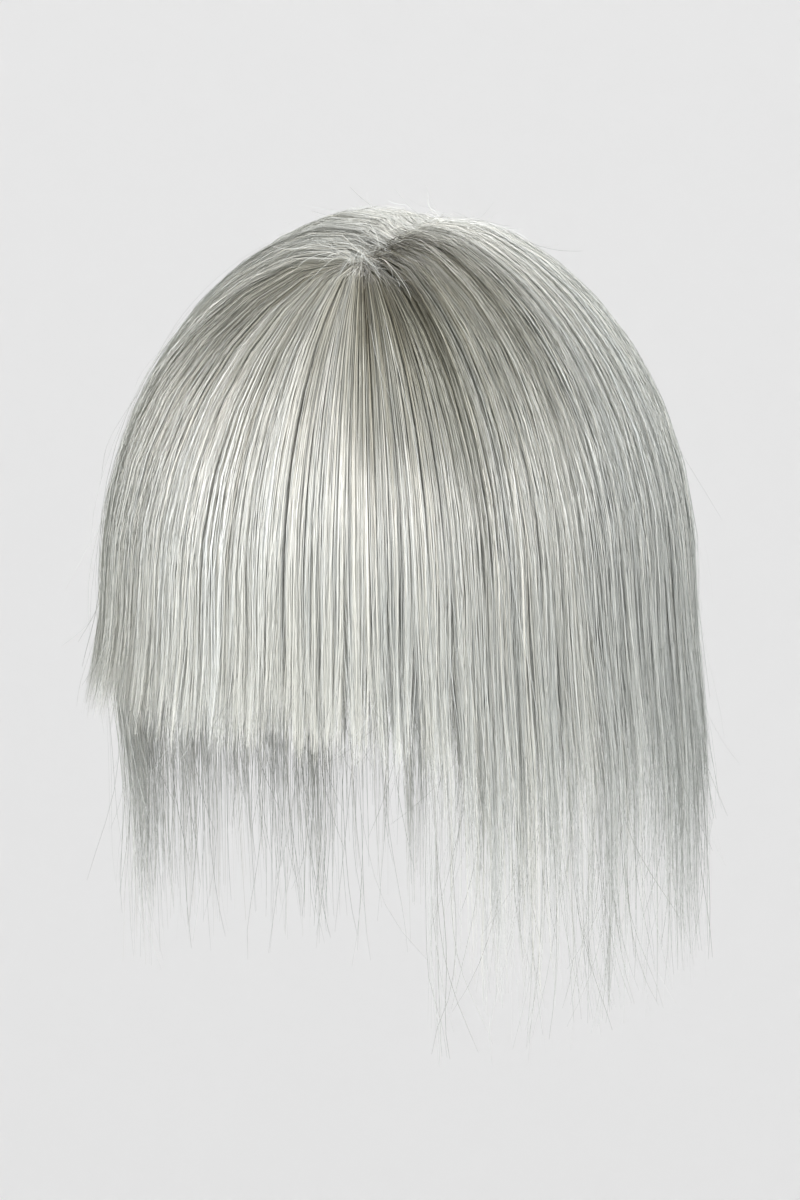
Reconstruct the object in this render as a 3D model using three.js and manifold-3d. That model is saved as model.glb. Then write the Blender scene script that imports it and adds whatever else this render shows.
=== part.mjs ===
// Hair topper: a crown hairpiece of straight silver-grey hair with a full fringe.
// Millimetres, +Z up. The fringe faces -Y and the wearer's left is +X.
// The origin is the highest point inside the base, where it rests on the crown.
import * as THREE from "three";
import { mergeVertices } from "three/addons/utils/BufferGeometryUtils.js";
import Module from "manifold-3d";

const wasm = await Module();
wasm.setup();
const { Manifold, Mesh: SolidMesh } = wasm;

// The crown that the base rests on: an ellipsoid whose top is the origin.
const SEAT = { halfWidth: 78, halfLength: 97, height: 100, top: 0 };

// The net base, measured in plan from the origin.
const BASE = { wall: 0.9, halfWidth: 58, halfLength: 66, rings: 6, sectors: 28 };

// The hair lies between two ellipsoids: lift 0 is the inside of the hair and lift 1 the outside.
const HAIR_INSIDE = { halfWidth: 81, halfLength: 100, height: 106, top: 2.2 };
const HAIR_OUTSIDE = { halfWidth: 91.5, halfLength: 109, height: 117.5, top: 10.5 };

// Below its widest line the hair hangs, and swings out or in by this much over this height.
const FLARE_OVER = 70;
const FRINGE_FLARE = [
  { phi: -50, value: 10 },
  { phi: -20, value: 7 },
  { phi: 46, value: 6 },
];
const LONG_FLARE = [
  { phi: -128, value: 5 },
  { phi: -90, value: -2 },
  { phi: -50, value: -6 },
  { phi: 46, value: 6 },
  { phi: 128, value: 8 },
  { phi: 232, value: 5 },
];

// The parting, in plan: the whorl at its front, where the fringe starts, and its back end.
const WHORL = new THREE.Vector2(12, -42);
const PARTING_END = new THREE.Vector2(8, 22);
const PARTING_HALF_GAP = 0.4;
const PARTING_START = 0.5;
const WHORL_START = 4;
const ROOT_LIFT = 0.4;
const ROOT_RISE = 0.2;

// Directions, in degrees round from the front, where the four lengths of hair meet.
const FRINGE_RIGHT = -50;
const FRINGE_LEFT = 46;
const BACK_RIGHT = -128;
const BACK_LEFT = 128;
const SEAM = 0.15;

// Heights of the tips, by direction.
const FRINGE_TIPS = [
  { phi: -50, value: -140 },
  { phi: -20, value: -147 },
  { phi: 18, value: -148 },
  { phi: 46, value: -160 },
];
const LONG_TIPS = [
  { phi: -128, value: -236 },
  { phi: -50, value: -224 },
  { phi: 46, value: -232 },
  { phi: 128, value: -238 },
  { phi: 180, value: -240 },
  { phi: 232, value: -238 },
];

// One lock's stations from root to tip: 0 to 1 over the dome, 1 to 2 hanging.
const LOCK_STATIONS = [0, 0.1, 0.22, 0.36, 0.52, 0.68, 0.84, 1, 1.35, 1.7, 2];
const LOCK_OVERLAP = 0.66;
const LOCK_INSET = 0.25;
const TIP_WIDTH = 0.3;
// A lock's section: how far each rail lies across it, and its lift in the body and at the tip.
const LOCK_RAILS = [
  { across: -1, lift: 0.16, tip: 0.42 },
  { across: -0.36, lift: 0.98, tip: 0.54 },
  { across: 0.4, lift: 0.94, tip: 0.52 },
  { across: 1, lift: 0.16, tip: 0.42 },
  { across: 0, lift: 0.1, tip: 0.34 },
];

// The backing that the locks are fused to.
const BACKING = { end: 1.7, inside: 0, outside: 0.36, columnsPerLock: 1 };

// A snap comb: a sewn bar with teeth that point up the crown.
const CLIP = { length: 32, bar: 5, teeth: 9, tooth: 1.6, reach: 8, wall: 1, corner: 1.6, gap: 0.3 };
const CLIP_PLACE = 0.84;

const DEG = Math.PI / 180;
const { lerp, smoothstep } = THREE.MathUtils;

// A repeatable value from 0 to 1 for each number.
function scatter(number) {
  const wave = Math.sin(number * 12.9898) * 43758.5453;
  return wave - Math.floor(wave);
}

// A value read from a table of directions.
function readTable(table, phi) {
  for (let i = 1; i < table.length; i += 1) {
    const low = table[i - 1];
    const high = table[i];
    if (phi <= high.phi) {
      const share = (phi - low.phi) / (high.phi - low.phi);
      return lerp(low.value, high.value, Math.max(0, share));
    }
  }
  return table[table.length - 1].value;
}

function shellAt(lift) {
  const mix = (key) => lerp(HAIR_INSIDE[key], HAIR_OUTSIDE[key], lift);
  return {
    halfWidth: mix("halfWidth"),
    halfLength: mix("halfLength"),
    height: mix("height"),
    top: mix("top"),
  };
}

// How far out a plan point lies on an ellipsoid, as a share of its rim.
function planShare(shell, x, y) {
  return Math.hypot(x / shell.halfWidth, y / shell.halfLength);
}

function domeHeight(shell, x, y) {
  const share = Math.min(1, planShare(shell, x, y));
  return shell.top - shell.height * (1 - Math.sqrt(1 - share * share));
}

// The distance from a root along its way to the rim of a shell, in plan.
function reachToRim(shell, root, way) {
  const a = (way.x / shell.halfWidth) ** 2 + (way.y / shell.halfLength) ** 2;
  const b = (root.x * way.x) / shell.halfWidth ** 2 + (root.y * way.y) / shell.halfLength ** 2;
  const c = (root.x / shell.halfWidth) ** 2 + (root.y / shell.halfLength) ** 2 - 1;
  return (-b + Math.sqrt(b * b - a * c)) / a;
}

// A point on the hair that leaves the parting in direction phi. Each direction keeps to one upright
// plane, so hair in different directions never crosses.
function hairPoint(panel, phi, along, lift, tipChange) {
  const root = panel.root(phi);
  const aim = new THREE.Vector2(
    HAIR_OUTSIDE.halfWidth * Math.sin(phi * DEG),
    -HAIR_OUTSIDE.halfLength * Math.cos(phi * DEG),
  );
  const way = aim.sub(root).normalize();
  const rise = ROOT_LIFT + (1 - ROOT_LIFT) * smoothstep(along, 0, ROOT_RISE);
  const shell = shellAt(lift * rise);
  const rim = reachToRim(shell, root, way);
  const swing = Math.sin(Math.min(1, along) * 90 * DEG);
  let run = panel.start + (rim - panel.start) * swing;
  let z = domeHeight(shell, root.x + way.x * run, root.y + way.y * run);
  if (along > 1) {
    const widest = shell.top - shell.height;
    const tip = readTable(panel.tips, phi) + tipChange;
    z = lerp(widest, tip, along - 1);
    run = rim + readTable(panel.flare, phi) * smoothstep(widest - z, 0, FLARE_OVER);
  }
  return new THREE.Vector3(root.x + way.x * run, root.y + way.y * run, z);
}

// A closed tube through equal rings of points, with flat fans at both ends.
function ringSolid(rings) {
  const count = rings[0].length;
  const positions = rings.flat().flatMap((p) => [p.x, p.y, p.z]);
  const faces = [];
  for (let r = 0; r + 1 < rings.length; r += 1) {
    for (let i = 0; i < count; i += 1) {
      const a = r * count + i;
      const b = r * count + ((i + 1) % count);
      faces.push(a, b + count, b, a, a + count, b + count);
    }
  }
  const last = (rings.length - 1) * count;
  for (let i = 1; i + 1 < count; i += 1) {
    faces.push(0, i, i + 1);
    faces.push(last, last + i + 1, last + i);
  }
  const geometry = new THREE.BufferGeometry();
  geometry.setAttribute("position", new THREE.Float32BufferAttribute(positions, 3));
  geometry.setIndex(faces);
  return geometry;
}

function toSolid(geometry) {
  const bare = geometry.clone();
  bare.deleteAttribute("normal");
  bare.deleteAttribute("uv");
  const merged = mergeVertices(bare, 1e-4);
  const solid = new Manifold(
    new SolidMesh({
      numProp: 3,
      vertProperties: merged.attributes.position.array,
      triVerts: new Uint32Array(merged.index.array),
    }),
  );
  return solid;
}

function toGeometry(solid) {
  const mesh = solid.getMesh();
  const geometry = new THREE.BufferGeometry();
  geometry.setAttribute("position", new THREE.BufferAttribute(mesh.vertProperties, 3));
  geometry.setIndex(new THREE.BufferAttribute(mesh.triVerts, 1));
  geometry.computeVertexNormals();
  return geometry;
}

// One lock of hair, a lens in section that narrows to its tip.
function lockGeometry(panel, index) {
  const pitch = (panel.to - panel.from) / panel.locks;
  const middle = panel.from + (index + 0.3 + 0.4 * scatter(panel.seed + index * 5)) * pitch;
  const half = pitch * LOCK_OVERLAP * (0.9 + 0.3 * scatter(panel.seed + index));
  const fullness = 0.8 + 0.2 * scatter(panel.seed + index * 3 + 1);
  const tipChange = panel.uneven * (2 * scatter(panel.seed + index * 7 + 2) - 1);
  const rings = LOCK_STATIONS.map((along) => {
    const taper = smoothstep(along, 1.3, 2);
    const width = half * lerp(1, TIP_WIDTH, taper);
    return LOCK_RAILS.map((rail) => {
      const wanted = middle + rail.across * width;
      const phi = Math.min(panel.to - LOCK_INSET, Math.max(panel.from + LOCK_INSET, wanted));
      const lift = lerp(rail.lift * (rail.lift > 0.5 ? fullness : 1), rail.tip, taper);
      return hairPoint(panel, phi, along, lift, tipChange);
    });
  });
  return ringSolid(rings);
}

// The backing of one length of hair: a thin sheet, closed all round.
function backingGeometry(panel) {
  const columns = Math.round(panel.locks * BACKING.columnsPerLock);
  const rings = [];
  for (const along of LOCK_STATIONS.filter((station) => station <= BACKING.end)) {
    const ring = [];
    for (let c = 0; c <= columns; c += 1) {
      const phi = lerp(panel.from, panel.to, c / columns);
      ring.push(hairPoint(panel, phi, along, BACKING.outside, 0));
    }
    for (let c = columns; c >= 0; c -= 1) {
      const phi = lerp(panel.from, panel.to, c / columns);
      ring.push(hairPoint(panel, phi, along, BACKING.inside, 0));
    }
    rings.push(ring);
  }
  return stripSolid(rings);
}

// As ringSolid, for flat rings whose two sides run opposite ways.
function stripSolid(rings) {
  const geometry = ringSolid(rings);
  const count = rings[0].length;
  const faces = Array.from(geometry.index.array).slice(0, (rings.length - 1) * count * 6);
  const last = (rings.length - 1) * count;
  for (let i = 0; i + 1 < count / 2; i += 1) {
    const far = count - 1 - i;
    faces.push(i, far - 1, far, i, i + 1, far - 1);
    faces.push(last + i, last + far, last + far - 1, last + i, last + far - 1, last + i + 1);
  }
  geometry.setIndex(faces);
  return geometry;
}

function hairGeometry(panel) {
  let solid = toSolid(backingGeometry(panel));
  for (let index = 0; index < panel.locks; index += 1) {
    solid = solid.add(toSolid(lockGeometry(panel, index)));
  }
  return toGeometry(solid);
}

// The net base: the crown's own shape, one wall thick.
function baseGeometry() {
  const inside = [];
  const outside = [];
  for (let r = 0; r <= BASE.rings; r += 1) {
    const share = Math.sin((r / BASE.rings) * 90 * DEG);
    const sectors = r === 0 ? 1 : BASE.sectors;
    for (let s = 0; s < sectors; s += 1) {
      const turn = (s / BASE.sectors) * 360 * DEG;
      const x = BASE.halfWidth * share * Math.sin(turn);
      const y = -BASE.halfLength * share * Math.cos(turn);
      const point = new THREE.Vector3(x, y, domeHeight(SEAT, x, y));
      inside.push(point);
      outside.push(point.clone().addScaledVector(seatNormal(point), BASE.wall));
    }
  }
  const positions = [...inside, ...outside].flatMap((p) => [p.x, p.y, p.z]);
  const shift = inside.length;
  const at = (r, s) => (r === 0 ? 0 : 1 + (r - 1) * BASE.sectors + (s % BASE.sectors));
  const faces = [];
  for (let s = 0; s < BASE.sectors; s += 1) {
    for (let r = 0; r < BASE.rings; r += 1) {
      const a = at(r, s);
      const b = at(r + 1, s);
      const c = at(r + 1, s + 1);
      const d = at(r, s + 1);
      faces.push(a, c, b, a + shift, b + shift, c + shift);
      if (r > 0) {
        faces.push(a, d, c, a + shift, c + shift, d + shift);
      }
    }
    const e = at(BASE.rings, s);
    const f = at(BASE.rings, s + 1);
    faces.push(e, f, f + shift, e, f + shift, e + shift);
  }
  const geometry = new THREE.BufferGeometry();
  geometry.setAttribute("position", new THREE.Float32BufferAttribute(positions, 3));
  geometry.setIndex(faces);
  geometry.computeVertexNormals();
  return geometry;
}

function seatNormal(point) {
  const below = point.z - (SEAT.top - SEAT.height);
  return new THREE.Vector3(
    point.x / SEAT.halfWidth ** 2,
    point.y / SEAT.halfLength ** 2,
    below / SEAT.height ** 2,
  ).normalize();
}

// A comb's outline: the bar lies along X from y 0 down, and the teeth point to +Y.
function clipGeometry() {
  const half = CLIP.length / 2;
  const pitch = (CLIP.length - CLIP.tooth) / (CLIP.teeth - 1);
  const shape = new THREE.Shape();
  shape.moveTo(-half + CLIP.corner, -CLIP.bar);
  shape.lineTo(half - CLIP.corner, -CLIP.bar);
  shape.lineTo(half, -CLIP.bar + CLIP.corner);
  for (let t = CLIP.teeth - 1; t >= 0; t -= 1) {
    const left = -half + t * pitch;
    const right = left + CLIP.tooth;
    shape.lineTo(right, 0);
    shape.lineTo(right, CLIP.reach - CLIP.tooth / 2);
    shape.lineTo(left + CLIP.tooth / 2, CLIP.reach);
    shape.lineTo(left, CLIP.reach - CLIP.tooth / 2);
    shape.lineTo(left, 0);
  }
  shape.lineTo(-half, -CLIP.bar + CLIP.corner);
  shape.closePath();
  return new THREE.ExtrudeGeometry(shape, { depth: CLIP.wall, bevelEnabled: false, steps: 1 });
}

// Whether a point lies inside the crown by at least the clip's gap.
function clearOfBase(point) {
  const level = point.z - (SEAT.top - SEAT.height);
  const inset = Math.hypot(
    point.x / (SEAT.halfWidth - CLIP.gap),
    point.y / (SEAT.halfLength - CLIP.gap),
    level / (SEAT.height - CLIP.gap),
  );
  return inset <= 1;
}

// A clip under the base in direction phi: flat against the inside, as near as its corners allow.
function placedClip(name, phi) {
  const x = BASE.halfWidth * CLIP_PLACE * Math.sin(phi * DEG);
  const y = -BASE.halfLength * CLIP_PLACE * Math.cos(phi * DEG);
  const spot = new THREE.Vector3(x, y, domeHeight(SEAT, x, y));
  const inward = seatNormal(spot).negate();
  const across = new THREE.Vector3(0, 0, 1).cross(inward).normalize();
  const up = inward.clone().cross(across);
  const turn = new THREE.Matrix4().makeBasis(across, up, inward);
  const geometry = clipGeometry();
  const mesh = new THREE.Mesh(geometry, steelMaterial());
  mesh.name = name;
  mesh.quaternion.setFromRotationMatrix(turn);
  const corners = [];
  for (const cornerX of [-CLIP.length / 2, CLIP.length / 2]) {
    for (const cornerY of [-CLIP.bar, CLIP.reach]) {
      corners.push(new THREE.Vector3(cornerX, cornerY, 0).applyQuaternion(mesh.quaternion));
    }
  }
  let drop = 0;
  const clear = () => corners.every((c) =>
    clearOfBase(c.clone().add(spot).addScaledVector(inward, drop)));
  while (!clear()) {
    drop += 0.02;
  }
  mesh.position.copy(spot).addScaledVector(inward, drop);
  return mesh;
}

function hairMaterial(colour) {
  return new THREE.MeshStandardMaterial({ color: colour, roughness: 0.5, metalness: 0 });
}

function steelMaterial() {
  return new THREE.MeshStandardMaterial({ color: 0x8f9194, roughness: 0.35, metalness: 1 });
}

// Roots: the fringe and the back start at a point, and the sides along the parting.
function partingRoot(share, side) {
  const root = WHORL.clone().lerp(PARTING_END, share);
  root.x += side * PARTING_HALF_GAP;
  return root;
}

const PANELS = [
  {
    name: "hair_fringe",
    from: FRINGE_RIGHT + SEAM,
    to: FRINGE_LEFT - SEAM,
    locks: 12,
    seed: 3,
    uneven: 4,
    start: WHORL_START,
    tips: FRINGE_TIPS,
    flare: FRINGE_FLARE,
    colour: 0xb9b9b1,
    root: () => new THREE.Vector2(WHORL.x, WHORL.y - 0.6),
  },
  {
    name: "hair_left",
    from: FRINGE_LEFT + SEAM,
    to: BACK_LEFT - SEAM,
    locks: 11,
    seed: 31,
    start: PARTING_START,
    uneven: 9,
    tips: LONG_TIPS,
    flare: LONG_FLARE,
    colour: 0xa9aba6,
    root: (phi) => partingRoot((phi - FRINGE_LEFT) / (BACK_LEFT - FRINGE_LEFT), 1),
  },
  {
    name: "hair_right",
    from: BACK_RIGHT + SEAM,
    to: FRINGE_RIGHT - SEAM,
    locks: 11,
    seed: 57,
    start: PARTING_START,
    uneven: 9,
    tips: LONG_TIPS,
    flare: LONG_FLARE,
    colour: 0xa9aba6,
    root: (phi) => partingRoot((phi - FRINGE_RIGHT) / (BACK_RIGHT - FRINGE_RIGHT), -1),
  },
  {
    name: "hair_back",
    from: BACK_LEFT + SEAM,
    to: 360 + BACK_RIGHT - SEAM,
    locks: 11,
    seed: 83,
    start: WHORL_START,
    uneven: 9,
    tips: LONG_TIPS,
    flare: LONG_FLARE,
    colour: 0xa2a4a0,
    root: () => new THREE.Vector2(PARTING_END.x, PARTING_END.y + 0.6),
  },
];

const CLIPS = [
  { name: "clip_front", phi: 0 },
  { name: "clip_left", phi: 90 },
  { name: "clip_back", phi: 180 },
  { name: "clip_right", phi: 270 },
];

const topper = new THREE.Group();

const netMaterial = new THREE.MeshStandardMaterial({ color: 0xb5ab9b, roughness: 0.9, metalness: 0 });
const base = new THREE.Mesh(baseGeometry(), netMaterial);
base.name = "base_cap";
topper.add(base);

for (const panel of PANELS) {
  const hair = new THREE.Mesh(hairGeometry(panel), hairMaterial(panel.colour));
  hair.name = panel.name;
  topper.add(hair);
}

for (const clip of CLIPS) {
  topper.add(placedClip(clip.name, clip.phi));
}

export default topper;
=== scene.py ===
# Hair topper: straight silver-grey hair with a full fringe, on a domed net base held by snap combs.
# Metres, in the frame of the CAD model: +Z up, fringe toward -Y, wearer's left toward +X.
import math

import bpy
import numpy as np
from mathutils import Matrix, Vector


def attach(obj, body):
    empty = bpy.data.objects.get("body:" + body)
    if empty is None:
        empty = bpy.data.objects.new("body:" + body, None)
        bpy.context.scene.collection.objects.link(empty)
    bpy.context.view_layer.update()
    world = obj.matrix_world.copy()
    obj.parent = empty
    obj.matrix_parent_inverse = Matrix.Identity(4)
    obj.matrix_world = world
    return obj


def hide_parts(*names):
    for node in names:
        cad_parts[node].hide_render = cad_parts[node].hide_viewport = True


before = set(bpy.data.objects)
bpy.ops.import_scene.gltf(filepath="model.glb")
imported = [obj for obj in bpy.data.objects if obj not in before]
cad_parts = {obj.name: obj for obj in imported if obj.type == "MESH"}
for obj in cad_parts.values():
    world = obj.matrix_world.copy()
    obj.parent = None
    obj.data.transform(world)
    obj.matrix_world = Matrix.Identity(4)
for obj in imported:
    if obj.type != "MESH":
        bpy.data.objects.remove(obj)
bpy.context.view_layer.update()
MM = 0.001

# The photograph's frame and the view it was taken from. Lengths are in millimetres and angles in degrees.
IMAGE_HEIGHT = 1200
PIXELS_PER_MM = 3.15
VIEW_AZIMUTH = 29
VIEW_ELEVATION = 7
VIEW_DISTANCE = 1600
VIEW_ROLL = 0.8
LOOK_AT = (0.3, 0.2, -115)
SENSOR_HEIGHT = 36
CLIP_END = 50000

# The hair lies between two domes, as in the CAD model: lift 0 is its inside and lift 1 its outside.
DOME_INSIDE = {"half_width": 81, "half_length": 100, "height": 106, "top": 2.2}
DOME_OUTSIDE = {"half_width": 91.5, "half_length": 109, "height": 117.5, "top": 10.5}
WHORL = (12, -42)
PARTING_END = (8, 22)

# How far the hanging hair swings out, over what drop it does so, and where its longest tips end. These tables
# go by phi, the direction in degrees round from the front toward the wearer's left.
FRINGE_FLARE = {"phi": (-56, -20, 52), "out": (14, 7, 6)}
LONG_FLARE = {"phi": (-132, -90, -44, 42, 128, 236), "out": (5, -3, -8, 5, 4, 5)}
FLARE_OVER = 70
FRINGE_TIPS = {"phi": (-56, -20, 18, 52), "z": (-143, -151, -152, -166)}
LONG_TIPS = {"phi": (-132, -46, 42, 128, 180, 236), "z": (-244, -234, -242, -246, -248, -244)}

# Lengths of hair. Each follows a sheet, where places along are shares of the way from root to tip and places
# across are shares of its width.
LONG_HAIR = {
    # Where the hair begins on its way out, just before its root, and how it hangs.
    "start": -5,
    "tips": LONG_TIPS,
    "flare": LONG_FLARE,
    "drop": 0,
    # How many strands, how they are shared out, and how each is drawn.
    "strands": 10600,
    "locks": 40,
    "wisps": 130,
    "streaks": 560,
    "density": {"across": (0, 1), "share": (1, 1)},
    "points": 10,
    "root_crowding": 1.35,
    "width": 0.15,
    # Where the strands start and end, and how much single strands and wisps differ.
    "root_depth": 0.12,
    "length": {"phi": (42, 60, 100), "share": (0.625, 0.62, 0.615)},
    "length_spread": 0.095,
    "wisp_spread": 0.03,
    "long_wisp": 0.16,
    # How the strands draw together, sway and rise.
    "parted": 0.08,
    "gather": 0.6,
    "wisp_sway": 0.07,
    "strand_sway": 0.08,
    "loft": 9.0,
    "root_rise": 0.12,
    # Loose hairs over the length, and single wisps below it.
    "loose": 120,
    "tip_hairs": 340,
    "tip_reach": (0.74, 1.0),
}
LOOSE_HAIR = {
    "drop": 8,
    "points": 20,
    "root_crowding": 1.0,
    "gather": 1.0,
    "wisp_sway": 0.1,
    "strand_sway": 0.28,
    "root_rise": 0.4,
}
PANELS = {
    "hair_fringe": LONG_HAIR | {
        "from": -57, "to": 52, "front": -180, "rear": 180, "root": WHORL, "root_end": WHORL, "seed": 1.0,
        "tips": FRINGE_TIPS, "flare": FRINGE_FLARE,
        "length": {"phi": (-50, -30, 20, 50), "share": (0.93, 0.875, 0.86, 0.87)},
        "length_spread": 0.06, "long_wisp": 0.08, "wisp_sway": 0.04, "strand_sway": 0.05,
        "tip_hairs": 120, "tip_reach": (0.9, 1.0),
    },
    "hair_left": LONG_HAIR | {
        "from": 38, "to": 133, "front": 46, "rear": 128, "root": WHORL, "root_end": PARTING_END, "seed": 2.0,
        "density": {"across": (0, 0.22, 1), "share": (0.15, 1, 1)},
    },
    "hair_right": LONG_HAIR | {
        "from": -133, "to": -45, "front": -50, "rear": -128, "root": WHORL, "root_end": PARTING_END,
        "seed": 3.0, "density": {"across": (0, 0.7, 1), "share": (1, 1, 0.15)},
    },
    "hair_back": LONG_HAIR | {
        "from": 123, "to": 237, "front": 128, "rear": 232, "root": PARTING_END, "root_end": PARTING_END,
        "seed": 4.0,
    },
}
HAIR_SEED = 20

# How finely the sheets are made, and the layer whose length their rows share out evenly.
SHEET_COLUMNS = 64
SHEET_ROWS = 56
PATH_STEPS = 400
DENSITY_STEPS = 200
MIDDLE_LIFT = 0.6

# How strands lie on a sheet, and how much they differ there. A pair is a range.
SIDE_MARGIN = 0.02
ACROSS_RANGE = (0.005, 0.995)
TIP_RANGE = (0.01, 0.99)
LOCK_JITTER = 1.5
LOCK_STRAY = 0.2
STREAK_GATHER = 0.45
DRIFT = 0.008
STRAND_DRIFT = 0.2
ROOT_SCATTER = 3.2
ROOT_START = 0.002
ROOT_STAGGER = 0.03
SHORTEST_END = 0.25
LOWEST_LIFT = 0.04
LOCK_LIFT = 0.03
STREAK_LIFT = 0.025
RIBBON_TURN = 0.4
STRAND_WIDTHS = (0.7, 1.3)
WILD_POWER = 5
LIFT_ROUND = {"phi": (-133, -95, -60, -40, 0, 200), "lift": (0.95, 0.92, 0.7, 0.72, 0.84, 0.9)}

# Strands and wisps unlike the rest, and their shares of all of them.
FILLER = {"share": 0.07, "width": 5, "turn": 0.2, "end": (0.3, 0.6), "lift": (0.2, 0.5)}
LONGEST = {"share": 0.02, "end": (0.85, 1.0)}
LONG_WISP = {"share": 0.16, "least": 0.04}
# Darker streaks are painted shade: they stand for the shadow in the gaps between streaks.
PAINTED_SHADOW_STREAK = {"share": 0.1, "darker": 0.2}

# Shades run from 0, dark ash, to 1, silver white, and tones from 0 at a dark root, partly painted shade, to 1
# at a tip. A tone past either end keeps that end's colour.
SHADE_RANGE = (0.02, 0.97)
LOCK_SHADE = 0.04
STREAK_SHADE = 0.07
STRAND_SHADE = 0.13
TIP_CONTRAST = 0.35
TIP_CONTRAST_FROM = 0.35
# Mean shade by direction, partly the hair's own colour and partly painted light and shade: paler toward the
# front of the fringe, darker over the wearer's left side, and from the wearer's left round the back paler at
# the roots, a painted sheen along the crown, and darker at the ends, painted shade.
SHADE_AND_PAINTED_LIGHT_ROUND = {
    "phi": (-60, -28, -6, 10, 28, 42, 62, 84, 105, 180, 237),
    "shade": (0.51, 0.59, 0.66, 0.58, 0.52, 0.48, 0.46, 0.46, 0.54, 0.57, 0.51),
    "tip_shade": (0.51, 0.58, 0.66, 0.59, 0.52, 0.5, 0.49, 0.46, 0.34, 0.42, 0.51),
}
# Lock by lock, root tones differ at random; near the whorl this stands partly for painted shade between
# locks.
LOCK_ROOT_TONE = 0.08
STRAND_ROOT_TONE = 0.1
# Where each direction starts on the tone ramp. Low values give a dark root, partly the hair's own colour and
# partly painted shade, darkest, as a painted shadow, at the whorl's front toward the wearer's left. High
# values from the wearer's left round the back to the wearer's right skip the dark root: a painted sheen along
# the crown.
ROOT_TONE_AND_PAINTED_LIGHT = {
    "phi": (-62, -45, -20, 0, 12, 22, 31, 46, 58, 72, 84, 100, 133, 237),
    "tone": (0.7, 0.21, 0.2, 0.12, 0.11, 0.15, -0.22, -0.28, -0.07, 0.0, 0.54, 0.76, 0.74, 0.7),
}
TIP_TONE = 1.3
MAP_WIDTH = 0.008
MAP_MARGIN = 0.01

# Loose hairs: short ones that stand at the root and long ones lifted clear, and fine wisps at the ends.
SHORT_LOOSE = {
    "share": 0.5, "start": 0.04, "reach": (0.03, 0.12), "lift": (0.4, 1.0), "shade": (0.15, 0.85),
    "root_tone": 0.6,
}
LONG_LOOSE = {
    "start": 0.25, "reach": (0.3, 0.75), "lift": (0.7, 0.95), "shade": (0.1, 0.5), "root_tone": (0.1, 0.5),
}
LOOSE = {"stray": 0.03, "drift": 2, "end": (0.03, 0.995), "width": (0.5, 0.8), "turn": 1, "wild": (0.6, 2.0)}
END_WISP = {
    "hairs": 9, "spread": 0.025, "tip_spread": 0.006, "start": (0.35, 0.55), "shorter": 0.05,
    "end": (0.62, 0.995), "lift": (0.15, 0.85), "width": (0.8, 1.25), "turn": 1, "shade": (0.05, 0.4),
    "root_tone": 0.6, "wild": 1.5, "wild_power": 3,
}

# Steps and spans that set the noise of one wisp or strand apart from the next.
WISP_STEP = 7.31
STRAND_STEP = 3.77
LOOSE_WISP_SPAN = 900
LOOSE_STRAND_SPAN = 9000
END_WISP_FROM = 500
END_WISP_STEP = 5.17

# How strands bend: late drawing together and swaying, and the taper as places along and shares of the width.
SWAY_POWER = 4.0
GATHER_POWER = 5.0
WISP_NOISE_SCALE = 2.6
STRAND_NOISE_SCALE = 3.4
LEAST_FREEDOM = 0.35
TAPER = ((0, 0.7), (0.12, 1.0), (0.8, 0.9), (1, 0.4))

# Colours of the hair by shade, and what they are multiplied by from root to tip: a dark, yellow root that is
# partly the hair's own colour and partly painted shade among the roots, a band of painted shade below the
# crown between two sheens, then pale with a cooler tip.
HAIR_SHADES = (
    (0, "#72726b"), (0.25, "#9c9d97"), (0.45, "#b9bab5"),
    (0.58, "#ccc9be"), (0.75, "#d8d9d5"), (1, "#eae9e3"),
)
HAIR_TONES_AND_PAINTED_SHADE = (
    (0, "#6f6a5a"), (0.2, "#afada2"), (0.33, "#d2d1cb"),
    (0.48, "#c5c5c0"), (0.68, "#ffffff"), (1, "#f9fcff"),
)

# Patterns of the base and the clips, in millimetres, and the thread's edges as shares of a cell.
NET_CELL = 1.6
NET_THREAD = (0.06, 0.22)
NET_RELIEF = 0.2
SCUFF_SIZE = 1.2

# The studio, in millimetres: a floor, with a small flat face in its middle, that curves up into a round wall,
# and soft boxes, whose turn is round from the camera.
FLOOR_DROP = 3600
FLOOR_RADIUS = 5000
FLOOR_MIDDLE = 50
COVE_RADIUS = 1600
WALL_HEIGHT = 6100
COVE_STEPS = 16
COVE_SIDES = 96
SOFT_BOXES = (
    {"name": "soft_box_left", "turn": -50, "rise": 19, "away": 1500, "wide": 1600, "high": 550, "watts": 5.8},
    {"name": "soft_box_right", "turn": 56, "rise": 16, "away": 1600, "wide": 1600, "high": 550, "watts": 5},
    {"name": "soft_box_back", "turn": 165, "rise": 42, "away": 1500, "wide": 900, "high": 900, "watts": 2.4},
)
LIGHT_SPREAD = 70
WORLD_STRENGTH = 1.12


def add_node(tree, kind, inputs=None, **settings):
    """Adds one node, sets its properties, and links or fills its inputs."""
    node = tree.nodes.new(kind)
    for name, value in settings.items():
        setattr(node, name, value)
    for key, value in (inputs or {}).items():
        if isinstance(value, bpy.types.NodeSocket):
            tree.links.new(value, node.inputs[key])
        else:
            node.inputs[key].default_value = value
    return node


def linear(hex_colour):
    """An sRGB hex colour as linear RGBA."""
    parts = [int(hex_colour[i : i + 2], 16) / 255 for i in (1, 3, 5)]
    return [c / 12.92 if c <= 0.04045 else ((c + 0.055) / 1.055) ** 2.4 for c in parts] + [1.0]


def new_material(name):
    """A material with an empty tree."""
    material = bpy.data.materials.new(name)
    material.use_nodes = True
    material.node_tree.nodes.clear()
    return material


def smooth(value, low, high):
    """0 below low, 1 above high, eased between."""
    share = np.clip((value - low) / (high - low), 0, 1)
    return share * share * (3 - 2 * share)


def by_direction(table, column, phi):
    """A table's column at the directions phi."""
    return np.interp(phi, table["phi"], table[column])


# Hair paths

def dome_at(lift):
    """The dome at a lift between the inside and the outside of the hair."""
    return {key: DOME_INSIDE[key] + (DOME_OUTSIDE[key] - DOME_INSIDE[key]) * lift for key in DOME_INSIDE}


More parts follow.
